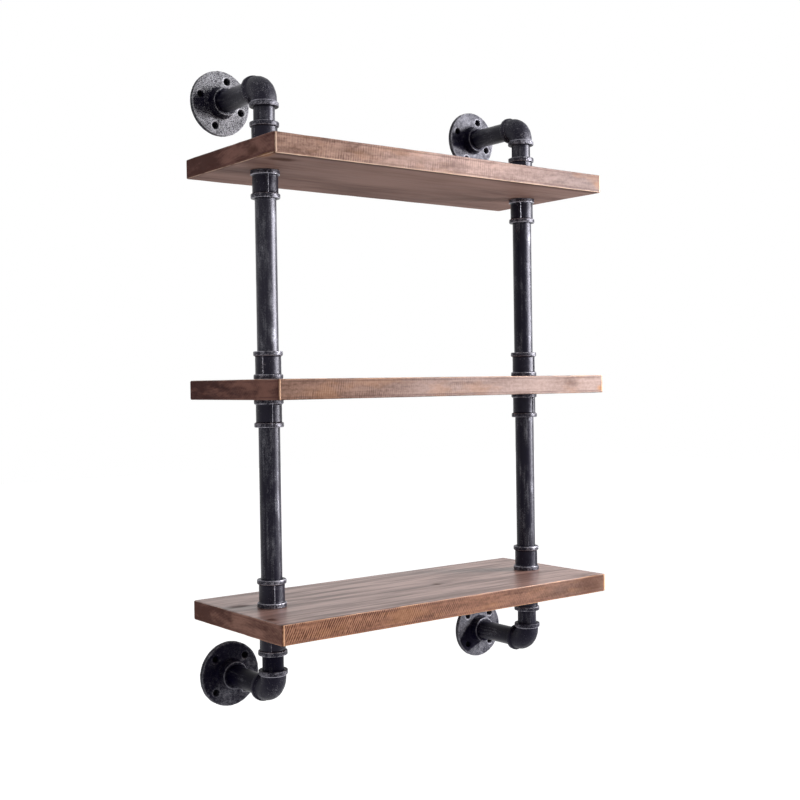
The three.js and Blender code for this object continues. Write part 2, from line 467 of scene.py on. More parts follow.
# Roughness and gloss of the paint, share and depth of the grit, cover of the silver and its colour
iron_recipes = {
    "black_iron_rubbed_silver": (0.34, 0.22, 1.6, 0.1 * mm, (0.33, 1.05), (0.44, 0.43, 0.49)),
    "grainy_brushed_flange": (0.42, 0.04, 4.8, 0.6 * mm, (-0.10, 1.15), (0.45, 0.445, 0.475)),
    "smooth_brushed_flange": (0.42, 0.04, 1.6, 0.4 * mm, (-0.45, 1.35), (0.36, 0.355, 0.40)),
    "sand_cast_black_iron": (0.46, 0.235, 2.4, 0.6 * mm, (0.12, 1.1), (0.42, 0.41, 0.47)),
    # A darker, duller copy of the sand-cast iron for the elbows under the bottom board, as painted shade
    "dull_black_iron_in_painted_shade": (0.44, 0.15, 1.4, 0.5 * mm, (0.20, 1.1), (0.40, 0.39, 0.45)),
}
irons = {name: iron_finish(name, *recipe) for name, recipe in iron_recipes.items()}
print("iron finishes:", list(irons))

# %% [markdown]
# ## Ribbed couplings
#
# A coupling is a short iron sleeve with a thick bead at each end and two ribs for the wrench. The
# casting's parting line crosses the beads in line with the ribs. Ribs as separate boxes would meet the
# sleeve with a hard corner, so they are raised out of the sleeve's own rings, which leaves a soft fillet.
# The rings' points crowd together near the ribs, where the shape is.

# %% Coupling sizes
socket_radius = 13.65 * mm
body_radius = 16.1 * mm
bead_radius = 18.3 * mm
bead_height = 6 * mm
bead_rounding = 1.2 * mm
coupling_low, coupling_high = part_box("left_coupling_above_middle_board")
coupling_length = (coupling_high - coupling_low).z
rib_rise = 1.1 * mm
rib_half_width = 1.3 * mm
parting_rise = 0.25 * mm

coupling_corners = [
    (socket_radius, 0, 0.4 * mm),
    (bead_radius, 0, bead_rounding),
    (bead_radius, bead_height - 0.4 * mm, bead_rounding),
    (body_radius, bead_height + 0.3 * mm, 0.9 * mm),
    (body_radius, coupling_length - bead_height - 0.3 * mm, 0.9 * mm),
    (bead_radius, coupling_length - bead_height + 0.4 * mm, bead_rounding),
    (bead_radius, coupling_length, bead_rounding),
    (socket_radius, coupling_length, 0.4 * mm),
]
print("coupling length in millimetres:", round(coupling_length / mm, 2))

# %% One coupling
# Each casting takes its skin and its silver from another part of the pattern
pattern_shift = 0.37


def crowded_angles(count, crowding=0.375):
    """Angles round a ring, closest together at 0 and 180 degrees, where the ribs are."""
    even = angles_round(count)
    return even - crowding * np.sin(2 * even)


def coupling_piece(name, foot, turn, seed, brush_and_shade):
    profile, curved = rounded_profile(coupling_corners, 1.6 * mm)
    angles = crowded_angles(128)
    radius, height = rings_of(profile, angles)
    off_rib = np.minimum(np.abs(np.sin(angles)), 1) * body_radius
    rib = 1 - eased_step(rib_half_width - 0.5 * mm, rib_half_width + 0.6 * mm, off_rib)
    seam = near(off_rib, 0.5 * mm)
    outside = radius > socket_radius + 1 * mm
    inner = (height > bead_height - 1 * mm) & (height < coupling_length - bead_height + 1 * mm)
    ribbed = np.maximum(radius, body_radius + rib_rise * rib)
    radius = np.where(outside & inner, ribbed, radius)
    radius = np.where(outside & (profile[:, :1] > body_radius + 1 * mm), radius + parting_rise * seam, radius)
    points = turned(radius, height, angles)

    push = casting_waves(points, 0.035 * mm, 9 * mm, seed)
    push *= outside.ravel()
    flat = np.hypot(points[:, 0], points[:, 1])
    points[:, :2] *= (1 + push / flat)[:, None]

    # Silver on one edge of each rib only, a painted highlight along its lit edge over the real wear
    rib_edge_highlight = near(off_rib - rib_half_width, 0.45 * mm) * (np.sin(2 * angles) > 0)
    rib_top = 0.35 * (off_rib < rib_half_width)
    along_rib = 0.65 * np.maximum(rib_edge_highlight, rib_top)[None, :] * (inner & outside)
    seam_line = 0.6 * seam[None, :] * (~inner & outside)
    bead = np.maximum(curved, 0.42 * (profile[:, 0] > bead_radius - 0.3 * mm))
    raised = np.maximum(bead[:, None], np.maximum(along_rib, seam_line)).ravel()

    piece = mesh_piece(name, points, ring_faces(len(profile), len(angles)))
    mark(piece, "place", points + seed * pattern_shift)
    mark(piece, "raised", raised)
    mark(piece, "brush_and_shade", brush_and_shade)
    piece.data.transform(Matrix.Translation(foot) @ Matrix.Rotation(turn, 4, "Z"))
    return piece


print("ribs", round(2 * rib_half_width / mm, 2), "mm wide, raised", round(rib_rise / mm, 2), "mm")

# %% Make the couplings
# How far each coupling is screwed round, in degrees, and how heavily it was brushed, from the top down
rib_turns = {
    "left": [187, 247, 211, 249, 246, 227],
    "right": [250, 218, 289, 280, 290, 291],
}
brush_of_couplings = {
    "left": [0.10, 0.16, 0.12, 0.10, 0.14, 0.12],
    "right": [0.10, 0.12, 0.08, 0.06, 0.06, 0.08],
}
coupling_spots = [(where, level) for level in levels for where in ("above", "below")]
for side in sides:
    for number, (where, level) in enumerate(coupling_spots):
        node = f"{side}_coupling_{where}_{level}_board"
        foot = Vector((column_axis[side].x, column_axis[side].y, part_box(node)[0].z))
        piece = coupling_piece(
            f"ribbed_{node}",
            foot,
            math.radians(rib_turns[side][number]),
            seed=10 * sides.index(side) + number,
            brush_and_shade=brush_of_couplings[side][number],
        )
        stand_in(piece, node, irons["black_iron_rubbed_silver"])
print("couplings:", len(sides) * len(coupling_spots), "with", len(piece.data.vertices), "points each")

# %% [markdown]
# ## Elbows
#
# An elbow is the same beaded socket at both ends of a quarter bend. A bevelled curve could make the bend
# but not the beads. The rings are carried along the bend's centre line instead, each one square to it,
# and their radius follows the bead's profile at the ends. The castings are rough, so the waves are deeper
# here than on the couplings.

# %% Elbow sizes and rings
elbow_reach = 25.5 * mm
elbow_bend_radius = 17.0 * mm
bore_radius = 10.45 * mm
elbow_stop = 14.7 * mm
bend_degrees = range(6, 90, 6)

socket_end_corners = [
    (socket_radius, elbow_reach, 0.4 * mm),
    (bead_radius, elbow_reach, bead_rounding),
    (bead_radius, elbow_reach - bead_height + 0.4 * mm, bead_rounding),
    (body_radius, elbow_reach - bead_height - 0.3 * mm, 0.9 * mm),
    (body_radius, elbow_bend_radius, 0),
    (socket_radius, elbow_bend_radius, 0),
]


def elbow_rings():
    """Each ring's radius, its centre along +Y and +Z, its lean in radians, and how much of an edge it is."""
    profile, curved = rounded_profile(socket_end_corners, 1.4 * mm)
    last = int(np.argmax((profile[:, 1] <= elbow_bend_radius + 1e-9) & (profile[:, 0] > socket_radius)))
    edges = np.maximum(curved, 0.3 * (profile[:, 0] > bead_radius - 0.3 * mm))
    outer = [(radius, distance, edge) for (radius, distance), edge in zip(profile[: last + 1], edges)]
    foot = [(radius, 0, -distance, 0, edge) for radius, distance, edge in outer]
    head = [(radius, distance, 0, math.pi / 2, 0.2 * edge) for radius, distance, edge in reversed(outer)]
    bend = []
    for degrees in bend_degrees:
        lean = math.radians(degrees)
        centre_y = elbow_bend_radius * (1 - math.cos(lean))
        centre_z = -elbow_bend_radius * (1 - math.sin(lean))
        bend.append((body_radius, centre_y, centre_z, lean, 0.0))
    bore = [
        (socket_radius, elbow_stop, 0, math.pi / 2, 0),
        (bore_radius, elbow_stop, 0, math.pi / 2, 0),
    ]
    for radius, centre_y, centre_z, lean, _ in reversed(bend[2:-2]):
        bore.append((bore_radius, centre_y, centre_z, lean, 0))
    bore += [(bore_radius, 0, -elbow_stop, 0, 0), (socket_radius, 0, -elbow_stop, 0, 0)]
    return np.array(foot + bend + head + bore, float)


print("rings in an elbow:", len(elbow_rings()))


# %% Make the elbows
def elbow_piece(name, place, seed, brush_and_shade):
    rings = elbow_rings()
    around = 96
    angles = angles_round(around)
    radius, centre_y, centre_z, lean, edge = (column[:, None] for column in rings.T)
    across = radius * np.sin(angles)
    points = np.stack(
        [radius * np.cos(angles), centre_y + across * np.cos(lean), centre_z - across * np.sin(lean)],
        axis=-1,
    )
    outside = np.repeat(radius > socket_radius + 1 * mm, around, axis=1).ravel()
    outward = points - np.stack([0 * centre_y, centre_y, centre_z], axis=-1)
    outward /= np.linalg.norm(outward, axis=-1, keepdims=True)
    points, outward = points.reshape(-1, 3), outward.reshape(-1, 3)
    push = casting_waves(points, 0.07 * mm, 12 * mm, seed) * outside
    points = points + outward * push[:, None]

    piece = mesh_piece(name, points, ring_faces(len(rings), around))
    mark(piece, "place", points + seed * pattern_shift)
    mark(piece, "raised", 1.5 * np.repeat(edge, around, axis=1).ravel())
    mark(piece, "brush_and_shade", brush_and_shade)
    piece.data.transform(place)
    return piece


# The iron of each elbow, those under the bottom board in a copy with painted shade, and how heavily it was
# brushed
elbows = {
    ("left", "top"): ("sand_cast_black_iron", 0.10),
    ("left", "bottom"): ("dull_black_iron_in_painted_shade", 0.14),
    ("right", "top"): ("sand_cast_black_iron", 0.10),
    ("right", "bottom"): ("dull_black_iron_in_painted_shade", 0.02),
}
for number, ((side, end), (iron, brush_and_shade)) in enumerate(elbows.items()):
    node = f"{side}_{end}_elbow"
    corner = Vector((column_axis[side].x, column_axis[side].y, arm_axis[side, end].z))
    place = Matrix.Translation(corner) @ Matrix.Rotation(math.pi if end == "bottom" else 0, 4, "Y")
    piece = elbow_piece(f"cast_{node}", place, seed=31 + number, brush_and_shade=brush_and_shade)
    stand_in(piece, node, irons[iron])
print("elbows:", len(elbows), "with", len(piece.data.vertices), "points each")

# %% [markdown]
# ## Wall flanges
#
# A flange is a round plate with a tapered hub in the middle and four countersunk screw holes. The plate
# is made from rings too, closely spaced so that the casting's skin can be uneven. The holes are cut with
# the Boolean modifier, because rings can't go round four holes, and the cutter flares at the top, which
# leaves a soft lip instead of a knife edge. The socket is threaded where it can be seen from behind. The
# shadow that the hub and the arm cast across the plate is painted: the mesh marks that strip as black, and
# the hub's side is darkened as painted shade too. A disc of painted shade on the wall behind each flange
# keeps the studio's white from showing through the screw holes.

# %% Flange sizes
flange_radius = 42 * mm
rim_thickness = 6.5 * mm
flange_height = 20 * mm
hub_base_radius = 19.35 * mm
hub_lip_radius = 17.95 * mm
hub_fillet = 4.2 * mm
screw_ring_radius = 30.675 * mm
screw_hole_radius = 4 * mm
screw_sink_radius = 5.7 * mm
screw_sink_depth = 1.8 * mm
screw_hole_count = 4
thread_pitch = 1.81 * mm
thread_depth = 0.5 * mm
threaded_depth = 7.5 * mm

flange_corners = [
    (socket_radius, 0, 0.6 * mm),
    (flange_radius, 0, 0.8 * mm),
    (flange_radius, rim_thickness, 1.3 * mm),
    (hub_base_radius, rim_thickness, hub_fillet),
    (hub_lip_radius, flange_height, 1.3 * mm),
    (socket_radius, flange_height, 0.5 * mm),
    (socket_radius, threaded_depth, 0),
]

hole_flare = 0.5 * mm
overrun = 3 * mm
screw_hole_profile = [
    (screw_hole_radius, -overrun),
    (screw_hole_radius, rim_thickness - screw_sink_depth),
    (screw_sink_radius - hole_flare, rim_thickness - 0.35 * mm),
    (screw_sink_radius, rim_thickness - 0.1 * mm),
    (screw_sink_radius + hole_flare, rim_thickness),
    (screw_sink_radius + hole_flare + 0.3 * mm, rim_thickness + overrun),
]
screw_hole_centres = [
    (math.cos(turn) * screw_ring_radius, math.sin(turn) * screw_ring_radius)
    for turn in angles_round(screw_hole_count)
]
print("turns of thread in a flange:", round(threaded_depth / thread_pitch, 1))

# %% One flange
# The painted shadow beside the hub narrows by this share on its way out
cast_shadow_narrowing = 0.2


def flange_piece(name, place, seed, brush_and_shade, shadow_side, half_width, softness, shadow_darkness):
    """A shadow is painted as a black strip of the plate beside the hub, towards the given side, a local
    angle.
    """
    profile, _ = rounded_profile(flange_corners, 1.1 * mm)
    around = 144
    angles = angles_round(around)
    radius, height = rings_of(profile, angles)
    threaded = (np.abs(radius - socket_radius) < 0.01 * mm) & (height < threaded_depth) & (height > 0.7 * mm)
    radius = radius + threaded * thread_depth * np.sin(2 * math.pi * height / thread_pitch - angles)
    points = turned(radius, height, angles)
    front = (points[:, 2] > 0.4 * mm) & (np.hypot(points[:, 0], points[:, 1]) > socket_radius + 0.8 * mm)
    push = casting_waves(points, 0.10 * mm, 14 * mm, seed) * front
    push += casting_waves(points, 0.04 * mm, 4 * mm, seed + 100) * front
    on_face = (points[:, 2] > rim_thickness - 0.1 * mm) & front
    outward = turned(radius, 0 * height, angles)
    outward /= np.linalg.norm(outward, axis=1, keepdims=True)
    points = np.where(on_face[:, None], points + push[:, None] * [0, 0, 1], points + push[:, None] * outward)

    plate = mesh_piece(name, points, ring_faces(len(profile), around))
    cutter = closed_round_bodies("screw_hole_cutter", screw_hole_centres, screw_hole_profile)
    drilled, spots = cut_out(plate, cutter)
    drilled.shade_smooth()
    drilled.set_sharp_from_angle(angle=math.radians(crease_degrees))

    reach = np.hypot(spots[:, 0], spots[:, 1])
    turn = 2 * math.pi / screw_hole_count
    folded = (np.arctan2(spots[:, 1], spots[:, 0]) + turn / 2) % turn - turn / 2
    from_hole = np.hypot(reach * np.cos(folded) - screw_ring_radius, reach * np.sin(folded))
    lip_of_hole = near(from_hole - screw_sink_radius, 0.7 * mm)
    from_lip = np.hypot(reach - hub_lip_radius + 0.5 * mm, spots[:, 2] - flange_height + 0.4 * mm)
    lip_of_hub = near(from_lip, 0.9 * mm)
    from_rim = np.hypot(reach - flange_radius + 0.5 * mm, spots[:, 2] - rim_thickness + 0.5 * mm)
    rim = near(from_rim, 0.8 * mm)
    rim_side = (reach > flange_radius - 0.8 * mm) & (spots[:, 2] < rim_thickness - 0.8 * mm)
    hub_side = (reach < hub_base_radius + 1.5 * mm) & (spots[:, 2] > rim_thickness + 1 * mm)
    in_hole = from_hole < screw_hole_radius + 0.3 * mm
    # Painted shadow: the strip that the hub and the arm shade is marked black, and the hole lips in it lose
    # their silver
    along = spots[:, 0] * math.cos(shadow_side) + spots[:, 1] * math.sin(shadow_side)
    across = np.abs(spots[:, 1] * math.cos(shadow_side) - spots[:, 0] * math.sin(shadow_side))
    in_strip = 1 - eased_step(half_width - softness, half_width + softness, across + cast_shadow_narrowing * along)
    painted_shadow = eased_step(-softness, softness, along) * in_strip * (1 - eased_step(38 * mm, 42 * mm, reach))
    painted_shadow *= shadow_darkness * np.where(hub_side, 0.3, 1)
    lip_of_hole *= 1 - painted_shadow
    mark(plate, "place", spots + seed * pattern_shift)
    mark(plate, "raised", np.maximum(np.maximum(0.6 * lip_of_hole, 0.9 * lip_of_hub), 0.45 * rim))
    # The brush reaches the holes and the rim's side only a little, and the hub's side is kept nearly black as
    # painted shade
    brush_reach_and_hub_shade = np.where(hub_side, 0.1, 1) * np.where(in_hole | rim_side, 0.1, 1)
    mark(plate, "brush_and_shade", brush_and_shade * brush_reach_and_hub_shade - painted_shadow - 0.2 * hub_side)
    drilled.transform(place)
    return plate


print("screw holes in a flange:", len(screw_hole_centres))

# %% Painted shade on the wall behind a flange
# The wall behind a flange lies in its shadow, so the disc's dark colour and its mottle are painted shade
wall_in_shadow, tree, shadow_shader = surface("wall_in_shadow")
shade_mottle = noise(tree, add_node(tree, "TexCoord", {}).outputs["Object"], 90.0)
shadow_inputs = {
    "Base Color": blended(tree, shade_mottle, (0.012, 0.012, 0.014), (0.03, 0.03, 0.034)),
    "Roughness": 0.95,
    "Specular IOR Level": 0.0,
}
fill(tree, shadow_shader, shadow_inputs)


def shaded_wall_patch(name, centre, radius, around=48):
    """A staged disc of painted shade on the wall, smaller than the flange that covers it."""
    angles = angles_round(around)
    rim = [(centre.x + radius * math.cos(a), centre.y, centre.z + radius * math.sin(a)) for a in angles]
    patch = mesh_piece(name, np.array(rim), [tuple(range(around))])
    patch.data.materials.append(wall_in_shadow)


print("behind the flanges:", wall_in_shadow.name)

# %% Make the flanges
# How far each flange is screwed round, its iron, how heavily it was brushed, and its painted shadow: the
# strip's direction in degrees, half its width, its softness and its darkness
flanges = {
    ("left", "top"): (-17, "grainy_brushed_flange", 0.50, (182, 17 * mm, 8 * mm, 0.80)),
    # The lower left flange sits in the bottom board's shade, which is painted as a broad dark strip and thin
    # silver
    ("left", "bottom"): (45, "smooth_brushed_flange", 0.04, (122, 70 * mm, 26 * mm, 0.46)),
    ("right", "top"): (-22, "smooth_brushed_flange", 0.27, (183, 18 * mm, 3 * mm, 0.70)),
    ("right", "bottom"): (45, "smooth_brushed_flange", 0.22, (215, 20 * mm, 2 * mm, 0.80)),
}
for number, ((side, end), (turn, iron, brush_and_shade, strip)) in enumerate(flanges.items()):
    node = f"{side}_{end}_flange"
    centre = Vector((column_axis[side].x, 0, arm_axis[side, end].z))
    place = (
        Matrix.Translation(centre)
        @ Matrix.Rotation(math.pi / 2, 4, "X")
        @ Matrix.Rotation(math.radians(turn), 4, "Z")
    )
    shadow_side = math.radians(strip[0] - turn)
    piece = flange_piece(f"cast_{node}", place, 51 + number, brush_and_shade, shadow_side, *strip[1:])
    stand_in(piece, node, irons[iron])
    shaded_wall_patch(f"wall_behind_{node}", centre + Vector((0, 1 * mm, 0)), flange_radius - 4 * mm)
print("flanges:", len(flanges), "with", len(piece.data.vertices), "points in the last one")

# %% [markdown]
# ## Pipe finish
#
# The pipes have the same black paint, but drawn steel is smooth, so the paint is half glossy and the soft
# light draws a pale stripe down it. The silver was wiped along the pipe and shows as faint streaks. A
# noise stretched twenty times along the pipe gives streaks, and each mesh keeps its own lengthwise
# direction with its points, so they run the right way on the arms too.

# %% Pipe paint
pipe_black, tree, pipe_shader = surface("half_gloss_pipe_paint")
place, brush_and_shade = kept(tree, "place", "Vector"), kept(tree, "brush_and_shade")
streaks = noise(tree, stretched(tree, place, (1.0, 1.0, 0.05)), 260.0, detail=4.0, roughness=0.6)
patches = noise(tree, stretched(tree, place, (1.0, 1.0, 0.35)), 85.0, detail=4.0, roughness=0.6)
grit = noise(tree, place, 700.0, detail=3.0, roughness=0.6)
worn = added(tree, (streaks, 0.6), (patches, 0.85), (grit, 0.6), (brush_and_shade, 0.2), -0.36)
silver = eased(tree, worn, 0.64, 1.2)
bump = add_node(tree, "Bump", {"Height": grit, "Strength": 0.35, "Distance": 0.12 * mm})
pipe_inputs = {
    "Base Color": blended(tree, silver, black_paint, (0.24, 0.24, 0.27)),
    "Metallic": product(tree, silver, 0.7),
    "Roughness": eased(tree, worn, 0.45, 0.95, 0.31, 0.38),
    "Specular IOR Level": eased(tree, brush_and_shade, -0.3, 1.0, 0.05, 0.50),
    "Specular Tint": cool_gloss,
    "Normal": bump.outputs[0],
}
fill(tree, pipe_shader, pipe_inputs)
print("pipe finish:", pipe_black.name)

# %% [markdown]
# ## Pipes and nipples
#
# Every length of pipe is a tube with eased ends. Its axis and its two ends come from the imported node's
# box, whose longest side is the pipe's length. The short pipes inside the boards are hidden, but they
# are real pieces, so they are made as well.

# %% Make the pipes
pipe_radius = 13.35 * mm

# How heavily a pipe was brushed, less for painted shade: the first line counts whose words are in the pipe's
# name
brush_and_shade_of_pipes = {
    "left_upper": 0.38,
    "left_lower": 0.16,
    "left_top": 0.22,
    # The bottom risers and arms, under the bottom board, are brushed least, the left ones below nought, which
    # darkens and dulls them as painted shade
    "left_bottom": -0.30,
    "right_bottom": 0.02,
    "right": 0.14,
    "left": 0.10,
}
pipe_names = [
    *(f"{side}_{which}_pipe" for side in sides for which in ("upper", "lower")),
    *(f"{side}_nipple_in_{level}_board" for side in sides for level in levels),
    *(f"{side}_{end}_{which}_nipple" for side in sides for end in ends for which in ("riser", "arm")),
]


def pipe_piece(name, node, seed, brush_and_shade):
    low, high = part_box(node)
    size = high - low
    lengthwise_y = "arm" in node
    length = size.y if lengthwise_y else size.z
    corners = [
        (bore_radius, 0, 0.3 * mm),
        (pipe_radius, 0, 0.5 * mm),
        (pipe_radius, length, 0.5 * mm),
        (bore_radius, length, 0.3 * mm),
    ]
    profile, _ = rounded_profile(corners, 6 * mm, steps=4)
    angles = angles_round(96)
    radius, height = rings_of(profile, angles)
    points = turned(radius, height, angles)
    outside = radius.ravel() > bore_radius + 1 * mm
    push = casting_waves(points, 0.02 * mm, 30 * mm, seed) * outside
    points[:, :2] *= (1 + push / radius.ravel())[:, None]
    piece = mesh_piece(name, points, ring_faces(len(profile), len(angles)))
    mark(piece, "place", points + seed * pattern_shift)
    mark(piece, "brush_and_shade", brush_and_shade)
    middle = middle_of(node)
    if lengthwise_y:
        place = Matrix.Translation((middle.x, low.y, middle.z)) @ Matrix.Rotation(-math.pi / 2, 4, "X")
    else:
        place = Matrix.Translation((middle.x, middle.y, low.z))
    piece.data.transform(place)
    return piece


for number, node in enumerate(pipe_names):
    brush_and_shade = next(share for words, share in brush_and_shade_of_pipes.items() if words in node)
    piece = pipe_piece(f"painted_{node}", node, seed=71 + number, brush_and_shade=brush_and_shade)
    stand_in(piece, node, pipe_black)
print("pipes and nipples:", len(pipe_names))

# %% [markdown]
# ## Stained pine
#
# Each board is one plank. A picture of wood on each face would never meet at the corners. So the grain is
# a noise in the board's own space, stretched along it into bands and threads, and rings round a heart
# outside the plank show faintly on its ends. The long edges keep the upright marks of the saw, under
# clouds of stain that lean a little and change colour from the left end to the right. The ends soaked up
# more stain and are darker, and the corners are rubbed back to pale wood.

# %% Upper and under faces
board_low, board_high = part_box("board_middle")
right_end, back, upper_face = (board_high - board_low) / 2
left_end, front, lower_face = -right_end, -back, -upper_face
# The stain of the knots, also used for painted shade under the front edges and beside a coupling
knot_stain_and_shade = (0.050, 0.022, 0.015)


def grain_noise(tree, place, along_share, scale, detail=3.0, roughness=0.55):
    return noise(tree, stretched(tree, place, (along_share, 1.0, 1.0)), scale, detail, roughness)


def top_face(tree, place, dark, light):
    bands = grain_noise(tree, place, 0.08, 75.0, detail=4.0, roughness=0.65)
    threads = grain_noise(tree, place, 0.035, 300.0)
    tone = eased(tree, added(tree, (bands, 0.8), (threads, 0.4)), 0.46, 0.74)
    return blended(tree, tone, dark, light), tone


def under_face(tree, local, place, dark, light):
    clouds = grain_noise(tree, place, 0.22, 24.0, detail=4.0)
    threads = grain_noise(tree, place, 0.03, 220.0)
    tone = eased(tree, added(tree, (clouds, 0.85), (threads, 0.35)), 0.38, 0.78)
    # Painted shade on the underside just behind the front edge, in the colour of the knots' stain
    shade_under_front_edge = eased(tree, parts_of(tree, local)[1], front + 3 * mm, front + 13 * mm, 0.7, 0.0)
    return blended(tree, shade_under_front_edge, blended(tree, tone, dark, light), knot_stain_and_shade)


print("half a board in metres:", [round(half, 5) for half in (right_end, back, upper_face)])

# %% Sawn long edges
bare_orange = (0.560, 0.270, 0.125)


def leaning(tree, place, degrees, lengthening):
    """Turns a pattern so that it climbs along the board's long edge, and stretches it that way."""
    inputs = {"Vector": place, "Rotation": (0, -math.radians(degrees), 0), "Scale": (lengthening, 1, 1)}
    return add_node(tree, "Mapping", inputs, vector_type="TEXTURE").outputs[0]


def saw_marks(tree, local, place, slope, spacing, strongest, cut):
    """One stripe for each stroke of the saw, deepest round one place along the board."""
    parts = parts_of(tree, local)
    wander = noise(tree, place, 26.0)
    along = added(tree, parts[0], (parts[2], slope), (wander, 1.6 * spacing))
    stroke = calculate(tree, "SINE", product(tree, along, 2 * math.pi / spacing))
    stripe_place = add_node(tree, "CombineXYZ", {0: along, 1: product(tree, parts[2], 0.2)})
    uneven = noise(tree, stripe_place.outputs[0], 1.7 / spacing, detail=3.0)
    stripes = added(tree, (stroke, 0.2 * cut), (uneven, 0.9 * cut), -0.45 * cut)
    away = calculate(tree, "ABSOLUTE", calculate(tree, "SUBTRACT", parts[0], strongest))
    patchy = noise(tree, leaning(tree, place, 14, 5.0), 62.0)
    nearby = eased(tree, away, 0.08, 0.28, 1.0, 0.18)
    return product(tree, stripes, product(tree, nearby, eased(tree, patchy, 0.40, 0.60, 0.15, 1.0)))


def sawn_edges(tree, local, place, marks, dark, light, lean, cloudy):
    """Each colour is given for the left end of the board, its middle and its right end."""
    parts = parts_of(tree, local)
    to_middle = eased(tree, parts[0], -0.22, 0.0)
    to_right = eased(tree, parts[0], 0.0, 0.25)
    clouds = noise(tree, leaning(tree, place, lean, 5.0), 80.0, detail=3.0)
    threads = grain_noise(tree, place, 0.04, 300.0)
    mottle = grain_noise(tree, place, 0.6, 330.0)
    parts_of_tone = ((clouds, cloudy), (threads, 0.4), (mottle, 0.5), (marks, 1.2), 0.20 - cloudy / 2)
    tone = eased(tree, added(tree, *parts_of_tone), 0.34, 0.92)
    here = [
        blended(tree, to_right, blended(tree, to_middle, left, middle), right)
        for left, middle, right in (dark, light)
    ]
    colour = blended(tree, tone, *here)
    warm = eased(tree, grain_noise(tree, place, 0.35, 45.0), 0.48, 0.66, 0.0, 0.25)
    return blended(tree, warm, colour, bare_orange)


print("sawn edges ready")

# %% Ends with faint year rings
ring_width = 3.4 * mm


def length_of(tree, vector):
    return add_node(tree, "VectorMath", {0: vector}, operation="LENGTH").outputs["Value"]


def end_grain(tree, local, place, dark, light):
    parts = parts_of(tree, local)
    blotches = noise(tree, stretched(tree, place, (1.0, 0.3, 1.0)), 90.0, detail=4.0, roughness=0.6)
    darker = eased(tree, parts[1], -40 * mm, back, 0.0, 0.26)
    across = stretched(tree, place, (0.0, 1.0, 1.0))
    turns = added(tree, (length_of(tree, across), 2 * math.pi / ring_width), (noise(tree, place, 60.0), 5.0))
    rings = calculate(tree, "SINE", turns)
    tone = eased(tree, added(tree, blotches, (darker, -1.0), (rings, 0.018)), 0.24, 0.66)
    return blended(tree, tone, dark, light)


print("year rings in one board:", round((upper_face - lower_face) / ring_width))


# %% Wood finish
def stained_pine(name, look):
    material, tree, shader = surface(name)
    local, place = kept(tree, "local", "Vector"), kept(tree, "place", "Vector")
    worn, beside_worn = kept(tree, "worn"), kept(tree, "beside_worn")
    facing = parts_of(tree, add_node(tree, "NewGeometry", {}).outputs["Normal"])
    on_end = eased(tree, calculate(tree, "ABSOLUTE", facing[0]), 0.55, 0.85)
    on_edge = eased(tree, calculate(tree, "ABSOLUTE", facing[1]), 0.55, 0.85)
    on_top = eased(tree, facing[2], 0.3, 0.8)

    marks = saw_marks(tree, local, place, **look["saw"])
    top, top_tone = top_face(tree, place, (0.115, 0.055, 0.042), (0.390, 0.220, 0.185))
    under = under_face(tree, local, place, (0.180, 0.103, 0.085), (0.360, 0.225, 0.190))
    edge = sawn_edges(tree, local, place, marks, **look["edge"])
    end = end_grain(tree, local, place, **look["end"])
    colour = blended(tree, on_top, under, top)
    colour = blended(tree, on_edge, colour, edge)
    colour = blended(tree, on_end, colour, end)

    # Knots, smudges and bare places, and on the bottom board a painted shadow beside a coupling
    ragged = grain_noise(tree, place, 0.3, 150.0)
    gloss = eased(tree, facing[2], 0.3, 0.8, 0.06, 0.54)
    for centre, half_sizes, strength, spot_colour in look["spots"]:
        inputs = {"Vector": local, "Location": centre, "Scale": half_sizes}
        away = length_of(tree, add_node(tree, "Mapping", inputs, vector_type="TEXTURE").outputs[0])
        eye = eased(tree, added(tree, away, ragged), 0.6, 1.7, strength, 0.0)
        colour = blended(tree, eye, colour, spot_colour)
        gloss = product(tree, gloss, eased(tree, eye, 0.0, 0.6, 1.0, 0.05))

    # A dark line painted beside the rubbed corners and edges, which stands for shade below the edges, and the
    # corners rubbed pale
    dark_line_noise = grain_noise(tree, place, 0.3, 60.0)
    dark_line_beside_worn = product(tree, beside_worn, eased(tree, dark_line_noise, 0.3, 0.6, 0.15, 0.75))
    colour = blended(tree, dark_line_beside_worn, colour, look["end"]["dark"])
    rubbing = grain_noise(tree, place, 0.4, 80.0, detail=4.0)
    rubbed = eased(tree, added(tree, worn, (rubbing, 0.9)), 0.80, 1.30, 0.0, 0.95)
    colour = blended(tree, rubbed, colour, look["rubbed"])

    roughness = eased(tree, facing[2], 0.3, 0.8, 0.70, 0.42)
    threads = grain_noise(tree, place, 0.02, 420.0, detail=4.0)
    relief = added(tree, (product(tree, marks, on_edge), look["depth"]), (threads, 0.4))
    bump = add_node(tree, "Bump", {"Height": relief, "Strength": 0.4, "Distance": 0.4 * mm})
    wood_inputs = {
        "Base Color": colour,
        "Roughness": added(tree, roughness, (top_tone, -0.10)),
        "Specular IOR Level": gloss,
        "Normal": bump.outputs[0],
    }
    fill(tree, shader, wood_inputs)
    return material


print("wood finish ready")

